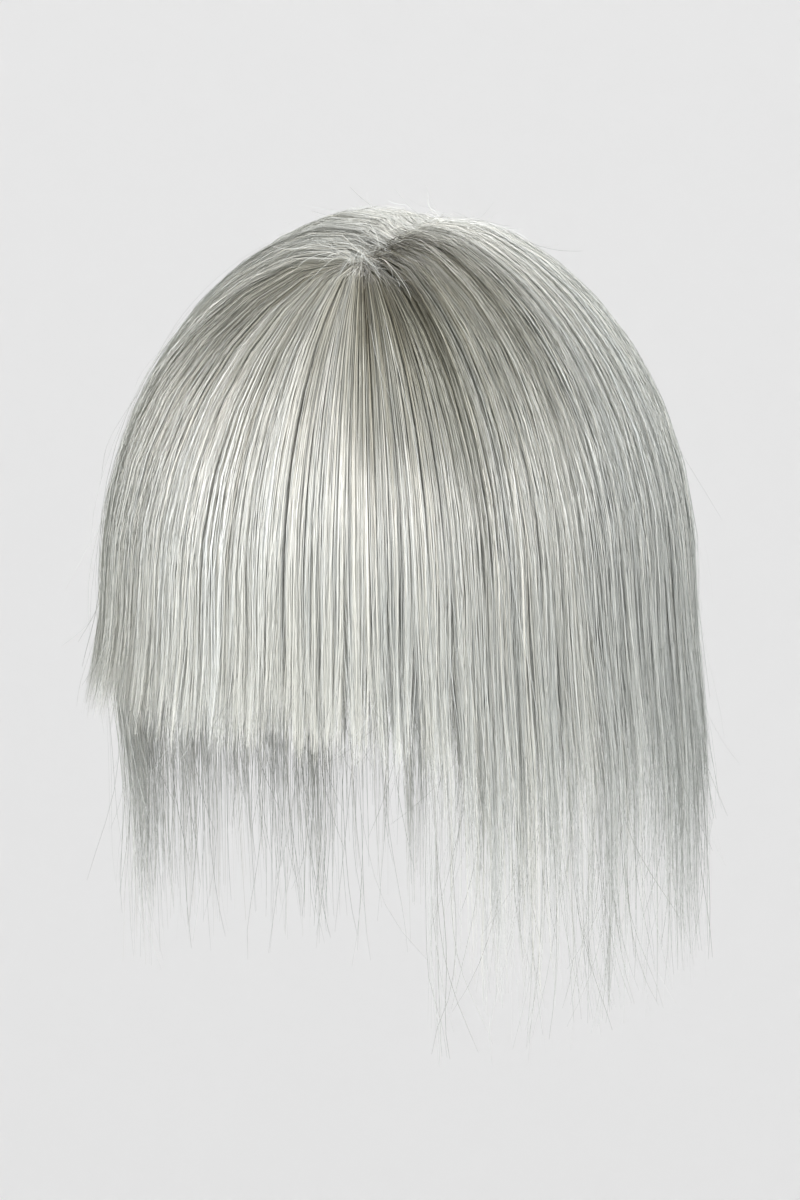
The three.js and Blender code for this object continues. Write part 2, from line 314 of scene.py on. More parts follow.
def hair_path(panel, phi, along, lift):
    """Points on the hair that leaves its root in direction phi: along is 0 to 1 over the dome and 1 to 2
    down the hanging length. Each direction keeps to one upright plane."""
    dome = dome_at(lift)
    turn = np.radians(phi)
    share = np.clip((phi - panel["front"]) / (panel["rear"] - panel["front"]), 0, 1)
    root_x = panel["root"][0] + (panel["root_end"][0] - panel["root"][0]) * share
    root_y = panel["root"][1] + (panel["root_end"][1] - panel["root"][1]) * share
    way_x = DOME_OUTSIDE["half_width"] * np.sin(turn) - root_x
    way_y = -DOME_OUTSIDE["half_length"] * np.cos(turn) - root_y
    size = np.hypot(way_x, way_y)
    way_x, way_y = way_x / size, way_y / size
    wide, long = dome["half_width"], dome["half_length"]

    # The way out meets the dome's widest ring at rim.
    a = (way_x / wide) ** 2 + (way_y / long) ** 2
    b = root_x * way_x / wide**2 + root_y * way_y / long**2
    c = (root_x / wide) ** 2 + (root_y / long) ** 2 - 1
    rim = (-b + np.sqrt(b * b - a * c)) / a
    run = panel["start"] + (rim - panel["start"]) * np.sin(np.minimum(along, 1) * math.pi / 2)
    out = np.hypot((root_x + way_x * run) / wide, (root_y + way_y * run) / long)
    z = dome["top"] - dome["height"] * (1 - np.sqrt(np.clip(1 - out * out, 0, 1)))

    # Below that ring the hair hangs to its tip and swings out.
    widest = dome["top"] - dome["height"]
    tip = by_direction(panel["tips"], "z", phi) - panel["drop"]
    fall = np.clip(along - 1, 0, 1)
    z = np.where(along > 1, widest + (tip - widest) * fall, z)
    flare = by_direction(panel["flare"], "out", phi)
    run = run + np.where(along > 1, flare * smooth(widest - z, 0, FLARE_OVER), 0)
    return np.stack([root_x + way_x * run, root_y + way_y * run, z], -1) * MM


def flow_sheet(name, panel):
    """A surface along the inside of one length of hair. Its map "flow" runs 0 to 1 across and from root to
    tip, and "outward" reaches from the inside of the hair to its outside."""
    phi = np.linspace(panel["from"], panel["to"], SHEET_COLUMNS)
    fine = np.linspace(0, 2, PATH_STEPS)
    along = np.empty((SHEET_ROWS, SHEET_COLUMNS))
    for column, direction in enumerate(phi):
        path = hair_path(panel, np.full_like(fine, direction), fine, MIDDLE_LIFT)
        steps = np.linalg.norm(np.diff(path, axis=0), axis=1)
        length = np.concatenate([[0], np.cumsum(steps)])
        along[:, column] = np.interp(np.linspace(0, length[-1], SHEET_ROWS), length, fine)
    directions = np.broadcast_to(phi, along.shape)
    inside = hair_path(panel, directions, along, 0.0)
    outward = hair_path(panel, directions, along, 1.0) - inside
    rows, columns = np.mgrid[0 : SHEET_ROWS - 1, 0 : SHEET_COLUMNS - 1]
    corner = rows * SHEET_COLUMNS + columns
    faces = np.stack([corner, corner + 1, corner + SHEET_COLUMNS + 1, corner + SHEET_COLUMNS], -1)
    mesh = bpy.data.meshes.new(name)
    mesh.from_pydata(inside.reshape(-1, 3).tolist(), [], faces.reshape(-1, 4).tolist())
    mesh.attributes.new("outward", "FLOAT_VECTOR", "POINT").data.foreach_set("vector", outward.ravel())
    u, v = np.meshgrid(np.linspace(0, 1, SHEET_COLUMNS), np.linspace(0, 1, SHEET_ROWS))
    flow = np.stack([u, v, np.zeros_like(u)], -1)
    mesh.attributes.new("flow", "FLOAT_VECTOR", "POINT").data.foreach_set("vector", flow.ravel())
    sheet = bpy.data.objects.new(name, mesh)
    bpy.context.scene.collection.objects.link(sheet)
    return sheet


# Strand columns

def places_across(panel, count, rng):
    """Places across the sheet, spread by the panel's density and in no order."""
    fine = np.linspace(0, 1, DENSITY_STEPS)
    filled = np.cumsum(np.interp(fine, panel["density"]["across"], panel["density"]["share"]))
    even = rng.permutation((np.arange(count) + rng.random(count)) / count)
    return np.interp(even, filled / filled[-1], fine)


def lock_places(place, locks, rng):
    """Shares strands out to locks side by side: each strand's lock, and where each lock lies across."""
    jitter = LOCK_JITTER * rng.random(locks) - (LOCK_JITTER - 1) / 2
    centre = np.sort((np.arange(locks) + jitter) / locks)
    border = (centre[1:] + centre[:-1]) / 2
    return np.searchsorted(border, place + rng.normal(0, LOCK_STRAY / locks, len(place))), centre


def inside_margins(across):
    """Places across with a margin kept free at both sides."""
    return SIDE_MARGIN + (1 - 2 * SIDE_MARGIN) * across


def root_scatter(count, rng):
    """How far each root lies from the line it grows along, sideways only."""
    shift = np.zeros((count, 3))
    shift[:, :2] = rng.normal(0, ROOT_SCATTER, (count, 2)) * MM
    return shift


def strand_columns(panel, rng):
    """What each strand of one length of hair needs: its place across the sheet, the wisp that its tip joins,
    where it starts and ends, its layer, width and shade. A few are wide and lie deep, and fill the mass."""
    count = panel["strands"]
    place = places_across(panel, count, rng)
    lock, lock_centre = lock_places(place, panel["locks"], rng)
    wisp, wisp_centre = lock_places(place, panel["wisps"], rng)
    streak, streak_centre = lock_places(place, panel["streaks"], rng)
    layer = rng.random(count)
    filler = rng.random(count) < FILLER["share"]
    longest = rng.random(count) < LONGEST["share"]
    across = place + (lock_centre[lock] - place) * panel["parted"]
    across = across + (streak_centre[streak] - place) * STREAK_GATHER
    phi = panel["from"] + (panel["to"] - panel["from"]) * place

    end = rng.normal(by_direction(panel["length"], "share", phi), panel["length_spread"], count)
    wisp_end = rng.normal(0, panel["wisp_spread"], panel["wisps"])
    long_wisp = rng.random(panel["wisps"]) < LONG_WISP["share"]
    longer = rng.uniform(LONG_WISP["least"], panel["long_wisp"], panel["wisps"])
    wisp_end = wisp_end + np.where(long_wisp, longer, 0)
    end = end + wisp_end[wisp]
    end = np.where(longest, rng.uniform(*LONGEST["end"], count), end)
    end = np.where(filler, rng.uniform(*FILLER["end"], count), end)

    top = by_direction(LIFT_ROUND, "lift", phi)
    lift = LOWEST_LIFT + top * layer + rng.normal(0, LOCK_LIFT, panel["locks"])[lock]
    lift = lift + rng.normal(0, STREAK_LIFT, panel["streaks"])[streak]
    lift = np.where(filler, rng.uniform(*FILLER["lift"], count), lift)

    # Shade: the hair's own shade by direction, with painted light and shade in it, and random lock, streak
    # and strand differences.
    unlike = rng.normal(0, LOCK_SHADE, panel["locks"])[lock]
    unlike = unlike + rng.normal(0, STREAK_SHADE, panel["streaks"])[streak]
    unlike = unlike + rng.normal(0, STRAND_SHADE, count)
    # A share of the streaks are darker: painted shade in the gaps between them.
    dark = rng.random(panel["streaks"]) < PAINTED_SHADOW_STREAK["share"]
    unlike = np.where(dark[streak], unlike - PAINTED_SHADOW_STREAK["darker"], unlike)
    shade = by_direction(SHADE_AND_PAINTED_LIGHT_ROUND, "shade", phi) + unlike
    tip_shade = by_direction(SHADE_AND_PAINTED_LIGHT_ROUND, "tip_shade", phi) + unlike * TIP_CONTRAST
    # Root tone by direction: partly painted shade at the roots and a painted sheen along the crown.
    root_tone = by_direction(ROOT_TONE_AND_PAINTED_LIGHT, "tone", phi)
    root_tone = root_tone + rng.normal(0, LOCK_ROOT_TONE, panel["locks"])[lock]

    streak_drift = rng.normal(0, DRIFT, panel["streaks"])
    return {
        "across": np.clip(inside_margins(across), *ACROSS_RANGE),
        "tip_across": inside_margins(wisp_centre[wisp]),
        "drift": streak_drift[streak] + rng.normal(0, STRAND_DRIFT * DRIFT, count),
        "lock_id": wisp * WISP_STEP,
        "start": ROOT_START + ROOT_STAGGER * rng.random(count) + (1 - layer) * panel["root_depth"],
        "end": np.clip(end, SHORTEST_END, 1 - panel["length_spread"] * rng.random(count)),
        "lift": lift,
        "width": rng.uniform(*STRAND_WIDTHS, count) * np.where(filler, FILLER["width"], 1),
        "turn": rng.normal(0, RIBBON_TURN, count) * np.where(filler, FILLER["turn"], 1),
        "shade": np.clip(shade, *SHADE_RANGE),
        "tip_shade": np.clip(tip_shade, *SHADE_RANGE),
        "root_tone": root_tone + rng.uniform(-STRAND_ROOT_TONE, STRAND_ROOT_TONE, count),
        "wild": rng.random(count) ** WILD_POWER,
        "strand_id": np.arange(count) * STRAND_STEP,
        "root_shift": root_scatter(count, rng),
    }


def loose_columns(panel, rng):
    """Loose hairs over the same sheet: some long and lifted clear, some short ones that stand at the root."""
    count = panel["loose"]
    short = rng.random(count) < SHORT_LOOSE["share"]
    start = np.where(
        short, SHORT_LOOSE["start"] * rng.random(count), LONG_LOOSE["start"] * rng.random(count)
    )
    reach = np.where(
        short, rng.uniform(*SHORT_LOOSE["reach"], count), rng.uniform(*LONG_LOOSE["reach"], count)
    )
    place = rng.random(count)
    columns = {
        "across": inside_margins(place),
        "tip_across": np.clip(place + rng.normal(0, LOOSE["stray"], count), *TIP_RANGE),
        "drift": rng.normal(0, LOOSE["drift"] * DRIFT, count),
        "lock_id": rng.random(count) * LOOSE_WISP_SPAN,
        "start": ROOT_START + start,
        "end": np.clip(start + reach, *LOOSE["end"]),
        "lift": np.where(
            short, rng.uniform(*SHORT_LOOSE["lift"], count), rng.uniform(*LONG_LOOSE["lift"], count)
        ),
        "width": rng.uniform(*LOOSE["width"], count),
        "turn": rng.normal(0, LOOSE["turn"], count),
        "shade": np.where(
            short, rng.uniform(*SHORT_LOOSE["shade"], count), rng.uniform(*LONG_LOOSE["shade"], count)
        ),
        "root_tone": np.where(short, SHORT_LOOSE["root_tone"], rng.uniform(*LONG_LOOSE["root_tone"], count)),
        "wild": rng.uniform(*LOOSE["wild"], count),
        "strand_id": rng.random(count) * LOOSE_STRAND_SPAN,
        "root_shift": root_scatter(count, rng),
    }
    return columns | {"tip_shade": columns["shade"]}


def end_wisp_columns(panel, rng):
    """The longest hairs, a few together in thin wisps that come to a point below the rest."""
    count = panel["tip_hairs"]
    wisps = count // END_WISP["hairs"]
    wisp = rng.integers(wisps, size=count)
    place = places_across(panel, wisps, rng)
    lowest = rng.uniform(*panel["tip_reach"], wisps)
    columns = {
        "across": np.clip(place[wisp] + rng.normal(0, END_WISP["spread"], count), *TIP_RANGE),
        "tip_across": np.clip(place[wisp] + rng.normal(0, END_WISP["tip_spread"], count), *TIP_RANGE),
        "drift": rng.normal(0, DRIFT, count),
        "lock_id": END_WISP_FROM + wisp * END_WISP_STEP,
        "start": rng.uniform(*END_WISP["start"], count),
        "end": np.clip(lowest[wisp] - np.abs(rng.normal(0, END_WISP["shorter"], count)), *END_WISP["end"]),
        "lift": rng.uniform(*END_WISP["lift"], count),
        "width": rng.uniform(*END_WISP["width"], count),
        "turn": rng.normal(0, END_WISP["turn"], count),
        "shade": rng.uniform(*END_WISP["shade"], count),
        "root_tone": np.full(count, END_WISP["root_tone"]),
        "wild": END_WISP["wild"] * rng.random(count) ** END_WISP["wild_power"],
        "strand_id": rng.random(count) * LOOSE_STRAND_SPAN,
        "root_shift": np.zeros((count, 3)),
    }
    return columns | {"tip_shade": columns["shade"]}


def root_points(name, columns):
    """One point for each strand, carrying its columns as attributes."""
    mesh = bpy.data.meshes.new(name)
    mesh.vertices.add(len(columns["across"]))
    for key, values in columns.items():
        kind, field = ("FLOAT_VECTOR", "vector") if values.ndim == 2 else ("FLOAT", "value")
        attribute = mesh.attributes.new(key, kind, "POINT")
        attribute.data.foreach_set(field, values.astype(np.float32).ravel())
    roots = bpy.data.objects.new(name, mesh)
    bpy.context.scene.collection.objects.link(roots)
    return roots


# Strand tree

STRAND_INPUTS = (
    ("Sheet", "NodeSocketObject"),
    ("Points", "NodeSocketInt"),
    ("Root crowding", "NodeSocketFloat"),
    ("Width", "NodeSocketFloat"),
    ("Gather", "NodeSocketFloat"),
    ("Wisp sway", "NodeSocketFloat"),
    ("Strand sway", "NodeSocketFloat"),
    ("Loft", "NodeSocketFloat"),
    ("Root rise", "NodeSocketFloat"),
    ("Seed", "NodeSocketFloat"),
    ("Material", "NodeSocketMaterial"),
)
STRAND_NUMBERS = (
    "along", "across", "tip_across", "drift", "lock_id", "start", "end", "lift", "width", "turn", "shade",
    "tip_shade", "root_tone", "wild", "strand_id",
)


def strand_tree():
    """Strands that follow a flow sheet: each root point becomes a thin tapered ribbon, turned its own way."""
    tree = bpy.data.node_groups.new("Hair strands", "GeometryNodeTree")
    tree.interface.new_socket("Roots", in_out="INPUT", socket_type="NodeSocketGeometry")
    for name, kind in STRAND_INPUTS:
        tree.interface.new_socket(name, in_out="INPUT", socket_type=kind)
    tree.interface.new_socket("Strands", in_out="OUTPUT", socket_type="NodeSocketGeometry")
    group = add_node(tree, "NodeGroupInput").outputs

    # One straight line, cut into points that know how far along they are, closer together near the root.
    line = add_node(tree, "GeometryNodeCurvePrimitiveLine")
    cut = add_node(tree, "GeometryNodeResampleCurve", {"Curve": line.outputs[0], "Count": group["Points"]})
    factor = add_node(tree, "GeometryNodeSplineParameter").outputs["Factor"]
    crowded = add_node(tree, "ShaderNodeMath", {0: factor, 1: group["Root crowding"]}, operation="POWER")
    marked = add_node(
        tree,
        "GeometryNodeStoreNamedAttribute",
        {"Geometry": cut.outputs[0], "Name": "along", "Value": crowded.outputs[0]},
    )
    placed = add_node(
        tree, "GeometryNodeInstanceOnPoints", {"Points": group["Roots"], "Instance": marked.outputs[0]}
    )
    lines = add_node(tree, "GeometryNodeRealizeInstances", {"Geometry": placed.outputs[0]})

    read = {}
    for key in STRAND_NUMBERS:
        node = add_node(tree, "GeometryNodeInputNamedAttribute", {"Name": key}, data_type="FLOAT")
        read[key] = node.outputs["Attribute"]

    # Where each point lies on the sheet, from root to tip. The tips draw together into wisps.
    down = add_node(
        tree, "ShaderNodeMapRange", {"Value": read["along"], "To Min": read["start"], "To Max": read["end"]}
    ).outputs[0]
    tipward = add_node(
        tree, "ShaderNodeMath", {0: read["along"], 1: SWAY_POWER}, operation="POWER"
    ).outputs[0]
    late = add_node(
        tree, "ShaderNodeMath", {0: read["along"], 1: GATHER_POWER}, operation="POWER"
    ).outputs[0]
    pull = add_node(tree, "ShaderNodeMath", {0: late, 1: group["Gather"]}, operation="MULTIPLY").outputs[0]
    drifted = add_node(
        tree,
        "ShaderNodeMath",
        {0: read["drift"], 1: read["along"], 2: read["across"]},
        operation="MULTIPLY_ADD",
    ).outputs[0]
    gathered = add_node(
        tree, "ShaderNodeMix", {"Factor": pull, "A": drifted, "B": read["tip_across"]}
    ).outputs[0]

    # Wisps sway together and strands by themselves, more toward the tips.
    wisp_place = add_node(
        tree, "ShaderNodeCombineXYZ", {"X": read["lock_id"], "Y": down, "Z": group["Seed"]}
    )
    wisp_noise = add_node(
        tree,
        "ShaderNodeTexNoise",
        {"Vector": wisp_place.outputs[0], "Scale": WISP_NOISE_SCALE, "Detail": 0.0},
    )
    strand_place = add_node(
        tree, "ShaderNodeCombineXYZ", {"X": read["strand_id"], "Y": down, "Z": group["Seed"]}
    )
    strand_noise = add_node(
        tree,
        "ShaderNodeTexNoise",
        {"Vector": strand_place.outputs[0], "Scale": STRAND_NOISE_SCALE, "Detail": 0.0},
    )
    wisp_split = add_node(tree, "ShaderNodeSeparateXYZ", {0: wisp_noise.outputs["Color"]})
    strand_split = add_node(tree, "ShaderNodeSeparateXYZ", {0: strand_noise.outputs["Color"]})
    freedom = add_node(
        tree, "ShaderNodeMath", {0: read["wild"], 1: LEAST_FREEDOM}, operation="ADD"
    ).outputs[0]
    sways = []
    for channel in (0, 1):
        wisp_swing = add_node(
            tree, "ShaderNodeMath", {0: wisp_split.outputs[channel], 1: 0.5}, operation="SUBTRACT"
        )
        wisp_swing = add_node(
            tree, "ShaderNodeMath", {0: wisp_swing.outputs[0], 1: group["Wisp sway"]}, operation="MULTIPLY"
        )
        swing = add_node(
            tree, "ShaderNodeMath", {0: strand_split.outputs[channel], 1: 0.5}, operation="SUBTRACT"
        )
        swing = add_node(
            tree, "ShaderNodeMath", {0: swing.outputs[0], 1: group["Strand sway"]}, operation="MULTIPLY"
        )
        swing = add_node(
            tree,
            "ShaderNodeMath",
            {0: swing.outputs[0], 1: freedom, 2: wisp_swing.outputs[0]},
            operation="MULTIPLY_ADD",
        )
        swing = add_node(tree, "ShaderNodeMath", {0: swing.outputs[0], 1: tipward}, operation="MULTIPLY")
        sways.append(swing.outputs[0])
    sideways = add_node(tree, "ShaderNodeMath", {0: gathered, 1: sways[0]}, operation="ADD", use_clamp=True)
    spot = add_node(tree, "ShaderNodeCombineXYZ", {"X": sideways.outputs[0], "Y": down})

    # The sheet's inside there, and its way out.
    sheet = add_node(tree, "GeometryNodeObjectInfo", {"Object": group["Sheet"]}).outputs["Geometry"]
    flow = add_node(tree, "GeometryNodeInputNamedAttribute", {"Name": "flow"}, data_type="FLOAT_VECTOR")
    outward = add_node(tree, "GeometryNodeInputNamedAttribute", {"Name": "outward"}, data_type="FLOAT_VECTOR")
    place = add_node(tree, "GeometryNodeInputPosition")
    found = []
    for value in (place.outputs[0], outward.outputs[0]):
        sample = add_node(
            tree,
            "GeometryNodeSampleUVSurface",
            {"Mesh": sheet, "Value": value, "UV Map": flow.outputs[0], "Sample UV": spot.outputs[0]},
            data_type="FLOAT_VECTOR",
        )
        found.append(sample.outputs[0])

    # A strand leaves its root steeply and bends over to its own layer, and the scatter of roots fades out.
    risen = add_node(
        tree, "ShaderNodeMapRange", {"Value": read["along"], "From Max": group["Root rise"]}
    ).outputs[0]
    bend = add_node(tree, "ShaderNodeMath", {0: 2.0, 1: risen}, operation="SUBTRACT").outputs[0]
    rise = add_node(tree, "ShaderNodeMath", {0: risen, 1: bend}, operation="MULTIPLY").outputs[0]
    fade = add_node(tree, "ShaderNodeMath", {0: 1.0, 1: rise}, operation="SUBTRACT").outputs[0]
    drift = add_node(tree, "ShaderNodeMath", {0: sways[1], 1: group["Loft"]}, operation="MULTIPLY").outputs[0]
    height = add_node(
        tree, "ShaderNodeMath", {0: read["lift"], 1: rise, 2: drift}, operation="MULTIPLY_ADD"
    ).outputs[0]
    lifted = add_node(
        tree, "ShaderNodeVectorMath", {0: found[1], 1: height, 2: found[0]}, operation="MULTIPLY_ADD"
    )
    scatter = add_node(
        tree, "GeometryNodeInputNamedAttribute", {"Name": "root_shift"}, data_type="FLOAT_VECTOR"
    )
    scattered = add_node(
        tree,
        "ShaderNodeVectorMath",
        {0: scatter.outputs[0], 1: fade, 2: lifted.outputs[0]},
        operation="MULTIPLY_ADD",
    )
    moved = add_node(
        tree, "GeometryNodeSetPosition", {"Geometry": lines.outputs[0], "Position": scattered.outputs[0]}
    )
    faced = add_node(
        tree, "GeometryNodeSetCurveNormal", {"Curve": moved.outputs[0], "Normal": found[1]}, mode="FREE"
    )
    turned = add_node(tree, "GeometryNodeSetCurveTilt", {"Curve": faced.outputs[0], "Tilt": read["turn"]})

    # The taper: a little finer at the root, and finest at the tip.
    taper = add_node(tree, "ShaderNodeFloatCurve", {"Value": read["along"]})
    points = taper.mapping.curves[0].points
    points[0].location = TAPER[0]
    points[1].location = TAPER[-1]
    for along, share in TAPER[1:-1]:
        points.new(along, share)
    taper.mapping.update()
    own = add_node(tree, "ShaderNodeMath", {0: taper.outputs[0], 1: read["width"]}, operation="MULTIPLY")
    radius = add_node(tree, "ShaderNodeMath", {0: own.outputs[0], 1: group["Width"]}, operation="MULTIPLY")
    edge = add_node(tree, "GeometryNodeCurvePrimitiveLine", {"Start": (0, -1, 0), "End": (0, 1, 0)})
    side = add_node(
        tree,
        "GeometryNodeStoreNamedAttribute",
        {"Geometry": edge.outputs[0], "Name": "side", "Value": factor},
    )
    ribbon = add_node(
        tree,
        "GeometryNodeCurveToMesh",
        {"Curve": turned.outputs[0], "Profile Curve": side.outputs[0], "Scale": radius.outputs[0]},
    )
    round_look = add_node(tree, "GeometryNodeSetShadeSmooth", {0: ribbon.outputs[0]})

    # The map that the colour follows: shade across, more alike toward the tips, and root to tip along.
    read_side = add_node(tree, "GeometryNodeInputNamedAttribute", {"Name": "side"}, data_type="FLOAT")
    shade = add_node(
        tree,
        "ShaderNodeMapRange",
        {
            "Value": read["along"],
            "From Min": TIP_CONTRAST_FROM,
            "To Min": read["shade"],
            "To Max": read["tip_shade"],
        },
    )
    map_u = add_node(
        tree,
        "ShaderNodeMath",
        {0: read_side.outputs["Attribute"], 1: MAP_WIDTH, 2: shade.outputs[0]},
        operation="MULTIPLY_ADD",
    )
    tone = add_node(
        tree, "ShaderNodeMapRange", {"Value": read["along"], "To Min": read["root_tone"], "To Max": TIP_TONE}
    )
    map_v = add_node(
        tree, "ShaderNodeClamp", {"Value": tone.outputs[0], "Min": MAP_MARGIN, "Max": 1 - MAP_MARGIN}
    )
    map_uv = add_node(tree, "ShaderNodeCombineXYZ", {"X": map_u.outputs[0], "Y": map_v.outputs[0]})
    mapped = add_node(
        tree,
        "GeometryNodeStoreNamedAttribute",
        {"Geometry": round_look.outputs[0], "Name": "OFBake", "Value": map_uv.outputs[0]},
        data_type="FLOAT2",
        domain="CORNER",
    )
    real = add_node(tree, "GeometryNodeRealizeInstances", {"Geometry": mapped.outputs[0]})
    dressed = add_node(
        tree, "GeometryNodeSetMaterial", {"Geometry": real.outputs[0], "Material": group["Material"]}
    )
    add_node(tree, "NodeGroupOutput", {0: dressed.outputs[0]})
    return tree


def grow(tree, name, panel, columns, material):
    """One length of hair as a plain mesh of strands."""
    sheet = flow_sheet(name + "_flow", panel)
    piece = root_points(name, columns)
    modifier = piece.modifiers.new("Hair strands", "NODES")
    modifier.node_group = tree
    values = {
        "Sheet": sheet,
        "Points": panel["points"],
        "Root crowding": panel["root_crowding"],
        "Width": panel["width"] / 2 * MM,
        "Gather": panel["gather"],
        "Wisp sway": panel["wisp_sway"],
        "Strand sway": panel["strand_sway"],
        "Loft": panel["loft"],
        "Root rise": panel["root_rise"],
        "Seed": panel["seed"],
        "Material": material,
    }
    for item in tree.interface.items_tree:
        if item.name in values:
            modifier[item.identifier] = values[item.name]
    evaluated = piece.evaluated_get(bpy.context.evaluated_depsgraph_get())
    mesh = bpy.data.meshes.new_from_object(evaluated)
    piece.modifiers.clear()
    points_only = piece.data
    piece.data = mesh
    bpy.data.meshes.remove(points_only)
    for key in [a.name for a in mesh.attributes if a.domain == "POINT" and a.name != "position"]:
        mesh.attributes.remove(mesh.attributes[key])
    bpy.data.meshes.remove(sheet.data)
    mesh.name = name
    return piece


# Materials

def silver_hair():
    """Grey human hair: smooth round keratin fibres, each its own shade from ash to silver white, darker and
    yellower at the root, partly its own colour and partly painted shade, with painted light and shade by
    direction and a band of painted shade below the crown, and a little cooler at the tip. The sheen lies
    across the strands in soft bands."""
    material = new_material("silver-grey hair")
    tree = material.node_tree
    strand_map = add_node(tree, "ShaderNodeUVMap", uv_map="OFBake")
    split = add_node(tree, "ShaderNodeSeparateXYZ", {0: strand_map.outputs[0]})
    shades = add_node(tree, "ShaderNodeValToRGB", {0: split.outputs["X"]})
    lengthwise = add_node(tree, "ShaderNodeValToRGB", {0: split.outputs["Y"]})
    for node, stops in ((shades, HAIR_SHADES), (lengthwise, HAIR_TONES_AND_PAINTED_SHADE)):
        elements = node.color_ramp.elements
        elements[0].color = linear(stops[0][1])
        elements[1].color = linear(stops[-1][1])
        for place, colour in stops[1:-1]:
            elements.new(place).color = linear(colour)
    colour = add_node(
        tree,
        "ShaderNodeMix",
        {0: 1.0, 6: shades.outputs[0], 7: lengthwise.outputs[0]},
        data_type="RGBA",
        blend_type="MULTIPLY",
    )
    across = add_node(tree, "ShaderNodeTangent", direction_type="UV_MAP", uv_map="OFBake")
    shader = add_node(
        tree,
        "ShaderNodeBsdfPrincipled",
        {
            "Base Color": colour.outputs[2],
            "Roughness": 0.39,
            "IOR": 1.55,
            "Anisotropic": 0.8,
            "Tangent": across.outputs[0],
        },
    )
    add_node(tree, "ShaderNodeOutputMaterial", {"Surface": shader.outputs[0]})
    return material


def knotting_net():
    """Fine knotting net: matte woven threads in a close lattice, drawn coarser than real so that it shows."""
    material = new_material("knotting net")
    tree = material.node_tree
    place = add_node(tree, "ShaderNodeTexCoord").outputs["Object"]
    cells = add_node(
        tree,
        "ShaderNodeTexVoronoi",
        {"Vector": place, "Scale": 1 / (NET_CELL * MM)},
        feature="DISTANCE_TO_EDGE",
    )
    thread = add_node(
        tree,
        "ShaderNodeMapRange",
        {"Value": cells.outputs["Distance"], "From Min": NET_THREAD[0], "From Max": NET_THREAD[1]},
    )
    colour = add_node(
        tree,
        "ShaderNodeMix",
        {0: thread.outputs[0], 6: linear("#efe9dd"), 7: linear("#cbc2b4")},
        data_type="RGBA",
    )
    bump = add_node(
        tree,
        "ShaderNodeBump",
        {"Height": thread.outputs[0], "Distance": NET_RELIEF * MM, "Strength": 0.8},
        invert=True,
    )
    shader = add_node(
        tree,
        "ShaderNodeBsdfPrincipled",
        {"Base Color": colour.outputs[2], "Roughness": 0.85, "Normal": bump.outputs[0]},
    )
    add_node(tree, "ShaderNodeOutputMaterial", {"Surface": shader.outputs[0]})
    return material


def nickel_steel():
    """Nickel-plated spring steel, stamped and tumbled: dull bright metal with faint scuffs."""
    material = new_material("nickel-plated steel")
    tree = material.node_tree
    place = add_node(tree, "ShaderNodeTexCoord").outputs["Object"]
    scuffs = add_node(
        tree, "ShaderNodeTexNoise", {"Vector": place, "Scale": 1 / (SCUFF_SIZE * MM), "Detail": 3.0}
    )
    rough = add_node(
        tree, "ShaderNodeMapRange", {"Value": scuffs.outputs[0], "To Min": 0.24, "To Max": 0.5}
    )
    shader = add_node(
        tree,
        "ShaderNodeBsdfPrincipled",
        {"Base Color": linear("#b4b3ae"), "Metallic": 1.0, "Roughness": rough.outputs[0]},
    )
    add_node(tree, "ShaderNodeOutputMaterial", {"Surface": shader.outputs[0]})
    return material


# Pieces

def make_hair():
    """The strands of each length of hair, and the loose hairs over it and below it."""
    tree = strand_tree()
    material = silver_hair()
    rng = np.random.default_rng(HAIR_SEED)
    for node, panel in PANELS.items():
        piece = grow(tree, node + "_strands", panel, strand_columns(panel, rng), material)
        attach(piece, "root")
        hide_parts(node)
        loose = panel | LOOSE_HAIR
        groups = (loose_columns(loose, rng), end_wisp_columns(loose, rng))
        columns = {key: np.concatenate([group[key] for group in groups]) for key in groups[0]}
        piece = grow(tree, node + "_loose", loose, columns, material)
        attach(piece, "root")


def dress_base_and_clips():
    """The base and the clips are the CAD pieces in their own materials."""
    net = knotting_net()
    steel = nickel_steel()
    for name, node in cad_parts.items():
        if name == "base_cap" or name.startswith("clip_"):
            node.data.materials.clear()
            node.data.materials.append(net if name == "base_cap" else steel)


# Stage

def make_backdrop():
    """A pale floor that curves up into a round wall, open above, the same from every side."""
    turn = np.radians(np.linspace(0, 90, COVE_STEPS))
    reach = np.concatenate([[FLOOR_MIDDLE], FLOOR_RADIUS + COVE_RADIUS * np.sin(turn)])
    reach = np.append(reach, FLOOR_RADIUS + COVE_RADIUS)
    height = np.concatenate([[0], COVE_RADIUS * (1 - np.cos(turn)), [WALL_HEIGHT]]) - FLOOR_DROP
    round_turn = np.linspace(0, 2 * math.pi, COVE_SIDES, endpoint=False)
    rings = [
        np.stack([r * np.cos(round_turn), r * np.sin(round_turn), np.full(COVE_SIDES, z)], -1)
        for r, z in zip(reach, height)
    ]
    faces = [tuple(range(COVE_SIDES))]
    for ring in range(len(rings) - 1):
        for side in range(COVE_SIDES):
            here = ring * COVE_SIDES + side
            beside = ring * COVE_SIDES + (side + 1) % COVE_SIDES
            faces.append((here, here + COVE_SIDES, beside + COVE_SIDES, beside))
    mesh = bpy.data.meshes.new("studio_floor")
    mesh.from_pydata((np.concatenate(rings) * MM).tolist(), [], faces)
    mesh.shade_smooth()
    paper = new_material("matte backdrop paper")
    shader = add_node(
        paper.node_tree,
        "ShaderNodeBsdfPrincipled",
        {"Base Color": linear("#f2f2f2"), "Roughness": 0.9, "Specular IOR Level": 0.1},
    )
    add_node(paper.node_tree, "ShaderNodeOutputMaterial", {"Surface": shader.outputs[0]})
    mesh.materials.append(paper)
    floor = bpy.data.objects.new("studio_floor", mesh)
    bpy.context.scene.collection.objects.link(floor)


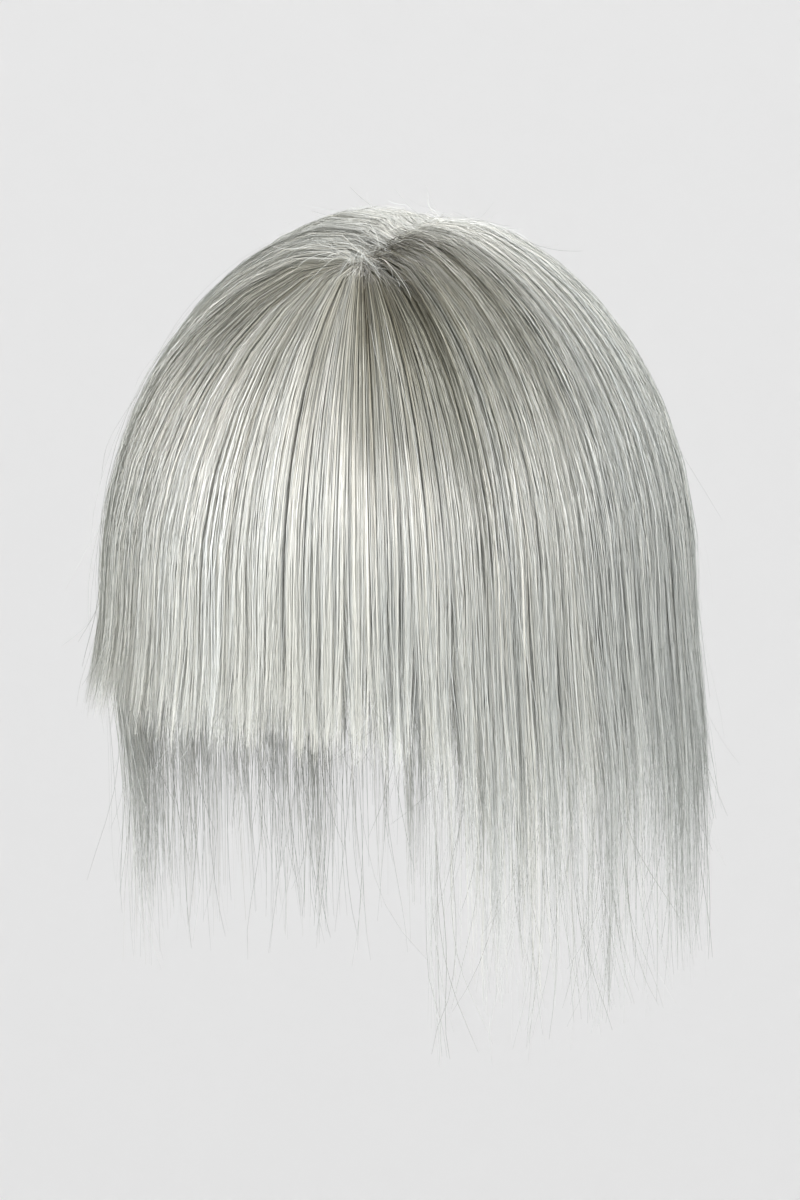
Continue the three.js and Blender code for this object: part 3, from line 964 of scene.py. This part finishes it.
def view_back(azimuth, elevation):
    """The way from the object back to a viewer."""
    a, e = math.radians(azimuth), math.radians(elevation)
    return Vector((math.sin(a) * math.cos(e), -math.cos(a) * math.cos(e), math.sin(e)))


def make_lights():
    """Soft boxes aimed at the hair, and an even white sky."""
    centre = Vector(LOOK_AT) * MM
    for box in SOFT_BOXES:
        light = bpy.data.lights.new(box["name"], "AREA")
        light.shape = "RECTANGLE"
        light.size = box["wide"] * MM
        light.size_y = box["high"] * MM
        light.energy = box["watts"]
        light.spread = math.radians(LIGHT_SPREAD)
        lamp = bpy.data.objects.new(box["name"], light)
        way = view_back(VIEW_AZIMUTH + box["turn"], box["rise"])
        lamp.location = centre + way * box["away"] * MM
        lamp.rotation_euler = way.to_track_quat("Z", "Y").to_euler()
        bpy.context.scene.collection.objects.link(lamp)
    world = bpy.data.worlds.new("studio")
    world.use_nodes = True
    background = world.node_tree.nodes["Background"]
    background.inputs["Color"].default_value = linear("#ffffff")
    background.inputs["Strength"].default_value = WORLD_STRENGTH
    bpy.context.scene.world = world


def make_camera():
    """The photograph's view, with a lens that gives its scale."""
    back = view_back(VIEW_AZIMUTH, VIEW_ELEVATION)
    right = Vector((0, 0, 1)).cross(back).normalized()
    turn = Matrix.Rotation(math.radians(-VIEW_ROLL), 3, back)
    right = turn @ right
    up = back.cross(right)
    camera = bpy.data.cameras.new("camera")
    camera.sensor_fit = "VERTICAL"
    camera.sensor_height = SENSOR_HEIGHT
    camera.lens = SENSOR_HEIGHT * VIEW_DISTANCE * PIXELS_PER_MM / IMAGE_HEIGHT
    camera.clip_end = CLIP_END * MM
    holder = bpy.data.objects.new("camera", camera)
    place = Matrix((right, up, back)).transposed().to_4x4()
    place.translation = (Vector(LOOK_AT) + back * VIEW_DISTANCE) * MM
    holder.matrix_world = place
    bpy.context.scene.collection.objects.link(holder)
    bpy.context.scene.camera = holder


make_hair()
dress_base_and_clips()
make_backdrop()
make_lights()
make_camera()
bpy.context.scene.view_settings.view_transform = "Standard"
